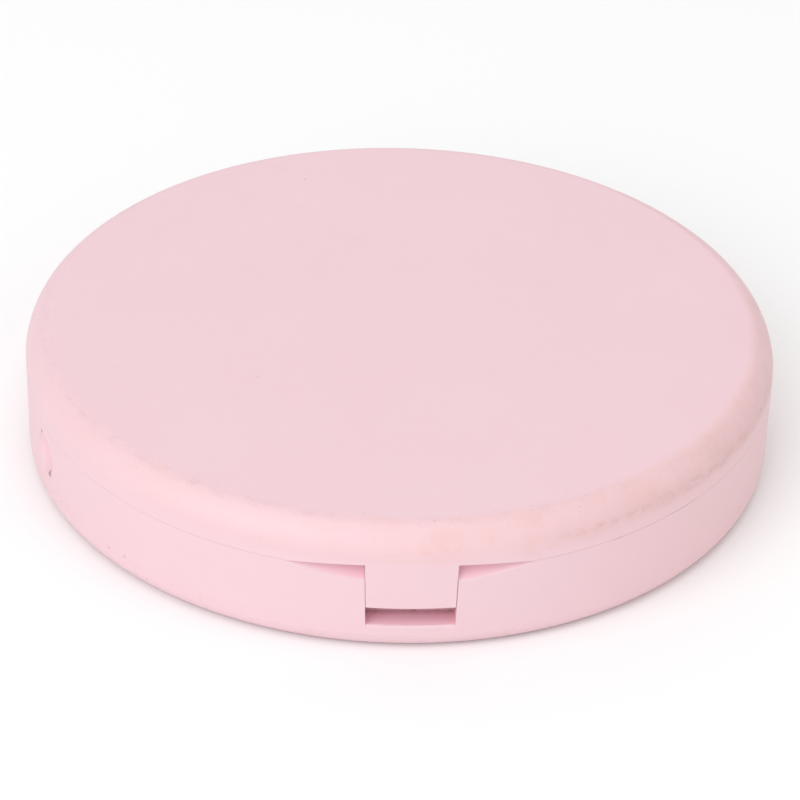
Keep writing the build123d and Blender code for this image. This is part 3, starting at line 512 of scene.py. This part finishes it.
def make_materials():
    """One material for each of the record's slots."""
    return {
        "shell_pink": shell_pink("shell_pink_base", False),
        "shell_pink_lid": shell_pink("shell_pink_lid", True),
        "insert_white": plain_plastic("insert_white", INSERT, INSERT_SHADE, 0.45),
        "carrier_white": plain_plastic("carrier_white", CARRIER, CARRIER_SHADE, 0.42),
        "guard_plastic": plain_plastic("guard_plastic", PINK, PINK_DEEP, 0.34),
        "seat_soft": elastomer("seat_soft", SEAT, SEAT_SHADE, 0.35 * MM),
        "mat_soft": elastomer("mat_soft", MAT, MAT_SHADE, 0.30 * MM),
        "cap_silicone": elastomer("cap_silicone", CAP, CAP_SHADE, 0.25 * MM),
        "blade_steel": steel("blade_steel", GROUND_STEEL, 0.26, (1, 1, 0.03), 0.06 * MM),
        "screw_steel": steel("screw_steel", PLATED_STEEL, 0.30, (1, 1, 1), 0.15 * MM),
        "pin_steel": steel("pin_steel", DRAWN_STEEL, 0.28, (0.05, 1, 1), 0.06 * MM),
        "spring_steel": steel("spring_steel", SPRING_STEEL, 0.32, (1, 1, 1), 0.10 * MM),
    }


def dress(materials):
    """Gives every CAD node the material of its slot."""
    for subpart in frame["record"]["subparts"]:
        node = frame["nodes"][subpart["node"]]
        node.data.materials.clear()
        name = "shell_pink_lid" if subpart["node"] == "lid_shell" else subpart["material_slot"]
        node.data.materials.append(materials[name])


# ---- Soft moulded pieces --------------------------------------------------------------------------
# Everything here is in millimetres until it becomes a mesh. Outlines are lists of corners
# (x, y, corner radius), with the material on the left of the direction of travel:
# counterclockwise round a piece, clockwise round a hole in it.

ARC_STEP = math.radians(12)
SMALLEST_RADIUS = 0.02
MERGE_DISTANCE = 1e-7
SHARP_ANGLE = math.radians(50)


def rounded(corners, inset):
    """The outline's points, moved into the material by an inset, with its corners rounded."""
    points = []
    for index, (x, y, radius) in enumerate(corners):
        here = Vector((x, y))
        before = (here - Vector(corners[index - 1][:2])).normalized()
        after = (Vector(corners[(index + 1) % len(corners)][:2]) - here).normalized()
        turn = math.atan2(before.x * after.y - before.y * after.x, before.dot(after))
        normals = Vector((-before.y, before.x)), Vector((-after.y, after.x))
        corner = here + inset * (normals[0] + normals[1]) / (1 + normals[0].dot(normals[1]))
        if radius == 0:
            points.append(corner)
            continue
        left = math.copysign(1, turn)
        radius = max(radius - left * inset, SMALLEST_RADIUS)
        start = corner - before * radius * abs(math.tan(turn / 2))
        centre = start + left * radius * normals[0]
        steps = max(2, round(abs(turn) / ARC_STEP))
        for step in range(steps + 1):
            spoke = start - centre
            spoke.rotate(Matrix.Rotation(turn * step / steps, 2))
            points.append(centre + spoke)
    return points


def inside(point, loops):
    """Whether a point is within the outer loop and in none of the holes."""
    crossings = 0
    for loop in loops:
        for a, b in zip(loop, loop[1:] + loop[:1]):
            if (a.y > point.y) != (b.y > point.y):
                crossings += point.x < a.x + (b.x - a.x) * (point.y - a.y) / (b.y - a.y)
    return crossings % 2 == 1


class Moulding:
    """A mesh made of flat faces joined by walls that follow outlines."""

    def __init__(self):
        self.mesh = bmesh.new()

    def wall(self, corners, profile):
        """A wall along an outline: its section is a list of (inset, height). Returns its ends."""
        rings = []
        for inset, height in profile:
            ring = rounded(corners, inset)
            rings.append([self.mesh.verts.new((p.x * MM, p.y * MM, height * MM)) for p in ring])
        for low, high in zip(rings, rings[1:]):
            for k in range(len(low)):
                self.mesh.faces.new((low[k - 1], low[k], high[k], high[k - 1]))
        return rings[0], rings[-1]

    def face(self, *rings):
        """A flat face between an outer ring and the rings of its holes."""
        verts = [vert for ring in rings for vert in ring]
        loops = [[Vector((v.co.x / MM, v.co.y / MM)) for v in ring] for ring in rings]
        edges = []
        first = 0
        for ring in rings:
            edges += [(first + k, first + (k + 1) % len(ring)) for k in range(len(ring))]
            first += len(ring)
        flat = [point for loop in loops for point in loop]
        points, _, triangles, sources, *_ = delaunay_2d_cdt(flat, edges, [], 0, MERGE_DISTANCE)
        for triangle in triangles:
            middle = sum((points[k] for k in triangle), Vector((0, 0))) / 3
            if inside(middle, loops):
                self.mesh.faces.new([verts[sources[k][0]] for k in triangle])

    def finish(self, name, material, node, body):
        """Makes the object, which stands for the CAD node and rides on its body."""
        bmesh.ops.recalc_face_normals(self.mesh, faces=self.mesh.faces)
        data = bpy.data.meshes.new(name)
        self.mesh.to_mesh(data)
        self.mesh.free()
        data.shade_smooth()
        data.set_sharp_from_angle(angle=SHARP_ANGLE)
        data.materials.append(material)
        piece = bpy.data.objects.new(name, data)
        bpy.context.collection.objects.link(piece)
        weighted = piece.modifiers.new("weighted_normals", "WEIGHTED_NORMAL")
        weighted.keep_sharp = True
        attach(piece, body)
        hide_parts(node)
        return piece


def quarter(start, end, bulge_first, steps=4):
    """Quarter-round section between two (inset, height) points."""
    section = []
    for step in range(steps + 1):
        a = math.pi / 2 * step / steps
        near, far = (math.sin(a), 1 - math.cos(a)) if bulge_first else (1 - math.cos(a), math.sin(a))
        section.append(
            (start[0] + (end[0] - start[0]) * near, start[1] + (end[1] - start[1]) * far)
        )
    return section


def edge_section(top, bottom, top_round, bottom_round):
    """Section of a wall from a face above to a face below, with both edges rounded."""
    return (
        quarter((top_round, top), (0, top - top_round), True)
        + quarter((0, bottom + bottom_round), (bottom_round, bottom), False)
    )


def dent_section(top, depth, rounding):
    """Section of a shallow recess: a rounded lip, then a rounded way into its floor."""
    floor = top - depth
    return (
        quarter((rounding, top), (0, top - rounding), True, 3)
        + quarter((0, floor + rounding), (-rounding, floor), False, 3)
    )


def rectangle(low_x, low_y, high_x, high_y, radius):
    """Corners of a piece's rectangle, counterclockwise."""
    return [
        (low_x, low_y, radius),
        (high_x, low_y, radius),
        (high_x, high_y, radius),
        (low_x, high_y, radius),
    ]


def circle(x, y, radius, count=24):
    """Corners of a circle as a fine polygon, counterclockwise."""
    turns = [2 * math.pi * k / count for k in range(count)]
    return [(x + radius * math.cos(a), y + radius * math.sin(a), 0) for a in turns]


def hole(corners):
    """The same outline travelled clockwise, as a hole in a piece."""
    return corners[::-1]


SEAT_LOW = (-12.3, -13.0, 4.4)
SEAT_HIGH = (12.3, 20.4, 8.4)
SEAT_BACK_CORNER = 2.0
SEAT_FRONT_CORNER = 0.8
SEAT_EDGES = (0.35, 0.15)
SEAT_PEG_EDGES = (0.3, 0.1)
VEE_APEX_Y = 13.0
VEE_HALF_ANGLE = math.radians(22)
VEE_MOUTH_CORNER = 0.5
SLOT_HALF_WIDTH = 0.7
SLOT_BACK = 15.5
SLOT_FRONT_CORNER = 0.3
SLOT_BACK_CORNER = 0.4
PEG_PLACES = [(-9.0, 14.5), (9.0, 14.5)]
PEG_HOLE_RADIUS = 1.26
GRIP_PITCH = 1.5
GRIP_DEPTH = 0.30
GRIP_CORNER = 0.12
# One grip groove: share of the pitch along the wall, share of the depth into it
GRIP_SHAPE = [(0.15, 0), (0.35, 1), (0.65, 1), (0.85, 0)]
# Dents in the pads beside the V: they fill a corner, one fewer in each row towards the front
DENT_COUNT = 3
DENT_FIRST = (10.9, 9.0)
DENT_PITCH = (2.2, 3.3)
DENT_RADIUS = 0.62
DENT_SIDES = 16
DENT_DEPTH = 0.3
DENT_LIP = 0.12


def grip_wall(start, end):
    """Corners along one side of the V, with shallow rounded grooves that hold a tablet."""
    start, end = Vector(start), Vector(end)
    along = (end - start).normalized()
    into = Vector((-along.y, along.x))
    length = (end - start).length
    count = int((length - 2 * GRIP_PITCH) / GRIP_PITCH)
    first = (length - count * GRIP_PITCH) / 2
    corners = []
    for groove in range(count):
        at = start + along * (first + groove * GRIP_PITCH)
        for step, depth in GRIP_SHAPE:
            point = at + along * step * GRIP_PITCH + into * depth * GRIP_DEPTH
            corners.append((point.x, point.y, GRIP_CORNER))
    return corners


def make_pill_seat(materials):
    """Soft block with a ribbed V, a blade slot, two peg holes and dimpled grip pads."""
    vee_half = (VEE_APEX_Y - SEAT_LOW[1]) * math.tan(VEE_HALF_ANGLE)
    slot_y = VEE_APEX_Y - SLOT_HALF_WIDTH / math.tan(VEE_HALF_ANGLE)
    right_mouth, left_mouth = (vee_half, SEAT_LOW[1]), (-vee_half, SEAT_LOW[1])
    right_slot, left_slot = (SLOT_HALF_WIDTH, slot_y), (-SLOT_HALF_WIDTH, slot_y)
    outline = [
        (SEAT_HIGH[0], SEAT_LOW[1], SEAT_FRONT_CORNER),
        (SEAT_HIGH[0], SEAT_HIGH[1], SEAT_BACK_CORNER),
        (SEAT_LOW[0], SEAT_HIGH[1], SEAT_BACK_CORNER),
        (SEAT_LOW[0], SEAT_LOW[1], SEAT_FRONT_CORNER),
        (*left_mouth, VEE_MOUTH_CORNER),
        *grip_wall(left_mouth, left_slot),
        (*left_slot, SLOT_FRONT_CORNER),
        (-SLOT_HALF_WIDTH, SLOT_BACK, SLOT_BACK_CORNER),
        (SLOT_HALF_WIDTH, SLOT_BACK, SLOT_BACK_CORNER),
        (*right_slot, SLOT_FRONT_CORNER),
        *grip_wall(right_slot, right_mouth),
        (*right_mouth, VEE_MOUTH_CORNER),
    ]
    seat = Moulding()
    top, bottom = SEAT_HIGH[2], SEAT_LOW[2]
    outer_top, outer_bottom = seat.wall(outline, edge_section(top, bottom, *SEAT_EDGES))
    tops, bottoms = [outer_top], [outer_bottom]
    for x, y in PEG_PLACES:
        peg_section = edge_section(top, bottom, *SEAT_PEG_EDGES)
        ends = seat.wall(hole(circle(x, y, PEG_HOLE_RADIUS)), peg_section)
        tops.append(ends[0])
        bottoms.append(ends[1])
    for side in (-1, 1):
        for row in range(DENT_COUNT):
            for column in range(DENT_COUNT - row):
                x = side * (DENT_FIRST[0] - DENT_PITCH[0] * column)
                y = DENT_FIRST[1] - DENT_PITCH[1] * row - DENT_PITCH[1] / 2 * (column % 2)
                outline = hole(circle(x, y, DENT_RADIUS, DENT_SIDES))
                dent = seat.wall(outline, dent_section(top, DENT_DEPTH, DENT_LIP))
                tops.append(dent[0])
                seat.face(dent[1])
    seat.face(*tops)
    seat.face(*bottoms)
    seat.finish("pill_seat_soft", materials["seat_soft"], "pill_seat", "base")


MAT_LOW = (-13.3, -25.8, 3.4)
MAT_HIGH = (13.3, 20.8, 4.4)
MAT_CORNER = 2.3
MAT_EDGES = (0.25, 0.1)
MAT_PEG_EDGES = (0.15, 0.1)
BLADE_GROOVE = (-0.6, -16.0, 0.6, 14.5)
BLADE_GROOVE_CORNER = 0.3
BLADE_GROOVE_DEPTH = 0.6
BLADE_GROOVE_LIP = 0.12
CROSS_LIP = 0.1
# Cross grooves in front of the seat, right across the mat
FRONT_CROSS_COUNT = 4
FRONT_CROSS_Y = -24.0
FRONT_CROSS_PITCH = 1.9
FRONT_CROSS_HALF = (11.2, 0.35)
FRONT_CROSS_CORNER = 0.34
FRONT_CROSS_DEPTH = 0.3
# Shorter ones inside the V, on both sides of the blade's groove
VEE_CROSS_COUNT = 5
VEE_CROSS_Y = -12.0
VEE_CROSS_PITCH = 3.2
VEE_CROSS_START = 1.5
VEE_CROSS_SHARE = 0.8
VEE_CROSS_LEAST = 2.6
VEE_CROSS_HALF_WIDTH = 0.3
VEE_CROSS_CORNER = 0.29
VEE_CROSS_DEPTH = 0.25


def make_cutting_mat(materials):
    """Thin soft mat with the blade's groove and cross grooves that stop a tablet rolling."""
    mat = Moulding()
    top, bottom = MAT_HIGH[2], MAT_LOW[2]
    outline = rectangle(MAT_LOW[0], MAT_LOW[1], MAT_HIGH[0], MAT_HIGH[1], MAT_CORNER)
    outer_top, outer_bottom = mat.wall(outline, edge_section(top, bottom, *MAT_EDGES))
    tops, bottoms = [outer_top], [outer_bottom]
    for x, y in PEG_PLACES:
        peg_section = edge_section(top, bottom, *MAT_PEG_EDGES)
        ends = mat.wall(hole(circle(x, y, PEG_HOLE_RADIUS)), peg_section)
        tops.append(ends[0])
        bottoms.append(ends[1])
    blade_groove = rectangle(*BLADE_GROOVE, BLADE_GROOVE_CORNER)
    grooves = [(blade_groove, BLADE_GROOVE_DEPTH, BLADE_GROOVE_LIP)]
    half_x, half_y = FRONT_CROSS_HALF
    for row in range(FRONT_CROSS_COUNT):
        y = FRONT_CROSS_Y + FRONT_CROSS_PITCH * row
        cross = rectangle(-half_x, y - half_y, half_x, y + half_y, FRONT_CROSS_CORNER)
        grooves.append((cross, FRONT_CROSS_DEPTH, CROSS_LIP))
    half_y = VEE_CROSS_HALF_WIDTH
    for side in (-1, 1):
        for row in range(VEE_CROSS_COUNT):
            y = VEE_CROSS_Y + VEE_CROSS_PITCH * row
            reach = VEE_CROSS_SHARE * (VEE_APEX_Y - y) * math.tan(VEE_HALF_ANGLE)
            if reach > VEE_CROSS_LEAST:
                x0, x1 = sorted((side * VEE_CROSS_START, side * reach))
                cross = rectangle(x0, y - half_y, x1, y + half_y, VEE_CROSS_CORNER)
                grooves.append((cross, VEE_CROSS_DEPTH, CROSS_LIP))
    for corners, depth, lip in grooves:
        dent = mat.wall(hole(corners), dent_section(top, depth, lip))
        tops.append(dent[0])
        mat.face(dent[1])
    mat.face(*tops)
    mat.face(*bottoms)
    mat.finish("cutting_mat_soft", materials["mat_soft"], "cutting_mat", "base")


WELL_RADIUS = 34.2
WELL_INNER_X = 15.2
WELL_HALF_LENGTH = 26.0
WELL_CORNER = 3.0
CAP_GROW = 1.3
CAP_BOTTOM = 8.95
CAP_TOP = 12.0
CAP_ROOF = 0.8
CAP_SKIRT = 1.0
CAP_EDGE = 0.4
CAP_INNER_CORNER = 0.5
SKIRT_TIP = 0.45
# The sealing groove round the skirt: inset and height of its section
SEAL_GROOVE = [(0, 10.3), (0.12, 10.15), (0.12, 9.85), (0, 9.7)]
BOW_CLEARANCE = math.radians(3.6)
BOW_STEPS = 22
CAP_RIB_Y = (-15.0, -7.5, 0.0, 7.5, 15.0)
CAP_RIB_X = (18.4, 29.4)
CAP_RIB_HALF_WIDTH = 0.6
CAP_RIB_CORNER = 0.55
CAP_RIB_EDGE = 0.3
CAP_RIB_HEIGHT = 0.7


def cap_outline(side):
    """D-shaped outline of a well's cap, counterclockwise."""
    radius = WELL_RADIUS + CAP_GROW
    inner_x = WELL_INNER_X - CAP_GROW
    half_length = WELL_HALF_LENGTH + CAP_GROW
    corner = WELL_CORNER + CAP_GROW
    end = math.asin(half_length / radius)
    meeting_x = radius * math.cos(end)
    reach = end - BOW_CLEARANCE
    bow = [-reach + 2 * reach * k / BOW_STEPS for k in range(BOW_STEPS + 1)]
    corners = [(inner_x, -half_length, corner), (meeting_x, -half_length, corner)]
    corners += [(radius * math.cos(a), radius * math.sin(a), 0) for a in bow]
    corners += [(meeting_x, half_length, corner), (inner_x, half_length, corner)]
    if side > 0:
        return corners
    return [(-x, y, corner_radius) for x, y, corner_radius in reversed(corners)]


def make_well_cap(name, side, materials):
    """Soft cap: a roof with a rounded sealing skirt, and moulded ribs under it."""
    cap = Moulding()
    ceiling = CAP_TOP - CAP_ROOF
    tip = CAP_BOTTOM + SKIRT_TIP
    inner_edge = (CAP_SKIRT + CAP_INNER_CORNER, ceiling)
    section = (
        quarter((CAP_EDGE, CAP_TOP), (0, CAP_TOP - CAP_EDGE), True)
        + SEAL_GROOVE
        + quarter((0, tip), (CAP_SKIRT / 2, CAP_BOTTOM), False)
        + quarter((CAP_SKIRT / 2, CAP_BOTTOM), (CAP_SKIRT, tip), True)[1:]
        + quarter((CAP_SKIRT, ceiling - CAP_INNER_CORNER), inner_edge, False)
    )
    roof, underside = cap.wall(cap_outline(side), section)
    features = [underside]
    low_x, high_x = sorted(side * x for x in CAP_RIB_X)
    crest_start = (0, ceiling - CAP_RIB_HEIGHT + CAP_RIB_EDGE)
    for y in CAP_RIB_Y:
        low_y, high_y = y - CAP_RIB_HALF_WIDTH, y + CAP_RIB_HALF_WIDTH
        rib = hole(rectangle(low_x, low_y, high_x, high_y, CAP_RIB_CORNER))
        rise = quarter((CAP_RIB_EDGE, ceiling), (0, ceiling - CAP_RIB_EDGE), True, 3)
        crest = quarter(crest_start, (-CAP_RIB_EDGE, ceiling - CAP_RIB_HEIGHT), False, 3)
        foot, top = cap.wall(rib, rise + crest)
        features.append(foot)
        cap.face(top)
    cap.face(*features)
    cap.face(roof)
    cap.finish(f"{name}_soft", materials["cap_silicone"], name, "lid")


make_camera()
make_lights()
make_floor(floor_white())
finishes = make_materials()
dress(finishes)
make_pill_seat(finishes)
make_cutting_mat(finishes)
make_well_cap("left_well_cap", -1, finishes)
make_well_cap("right_well_cap", 1, finishes)
